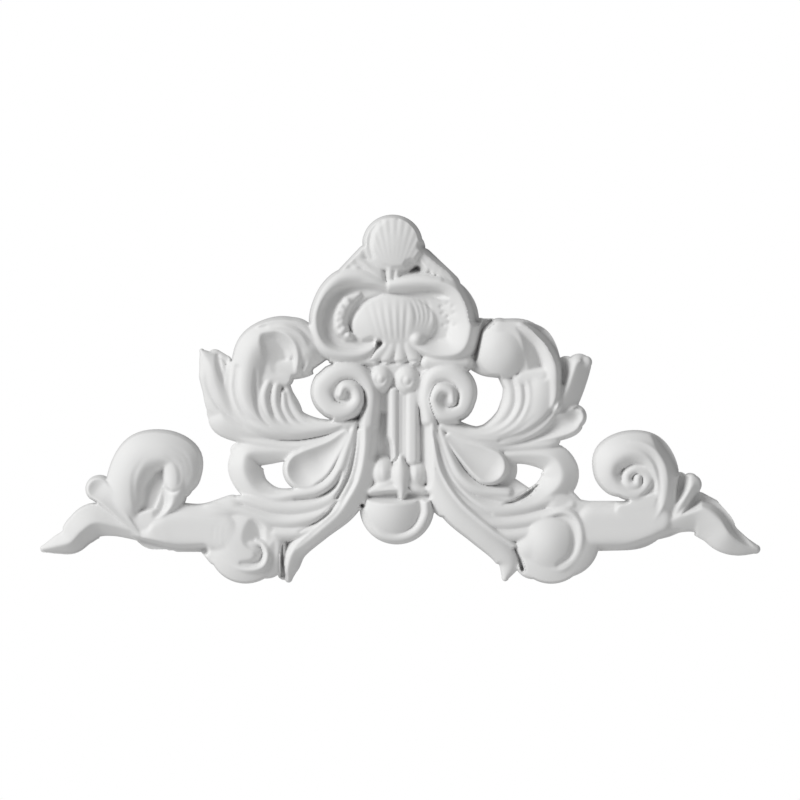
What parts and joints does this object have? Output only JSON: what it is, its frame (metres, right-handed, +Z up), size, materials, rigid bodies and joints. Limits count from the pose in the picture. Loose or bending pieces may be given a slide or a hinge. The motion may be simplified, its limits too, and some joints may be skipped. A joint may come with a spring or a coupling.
{
  "type": "shell and scroll onlay",
  "caption": "Pierced white onlay for a panel or chimney piece: a scallop shell over crossed C straps, volutes, rolled acanthus leaves and a scroll wing at each end, flat at the back.",
  "frame": {"origin": "on the flat back, at the middle of the width and of the height, where the stem is solid", "axes": "+X to the right as seen from the front, +Y out of the back into the wall, +Z up; the carving faces -Y"},
  "size_m": [0.3616, 0.0195, 0.1851],
  "materials": {
    "primed_white": "matt white factory primer"
  },
  "bodies": {
    "root": {"onlay": "primed_white"}
  },
  "joints": []
}
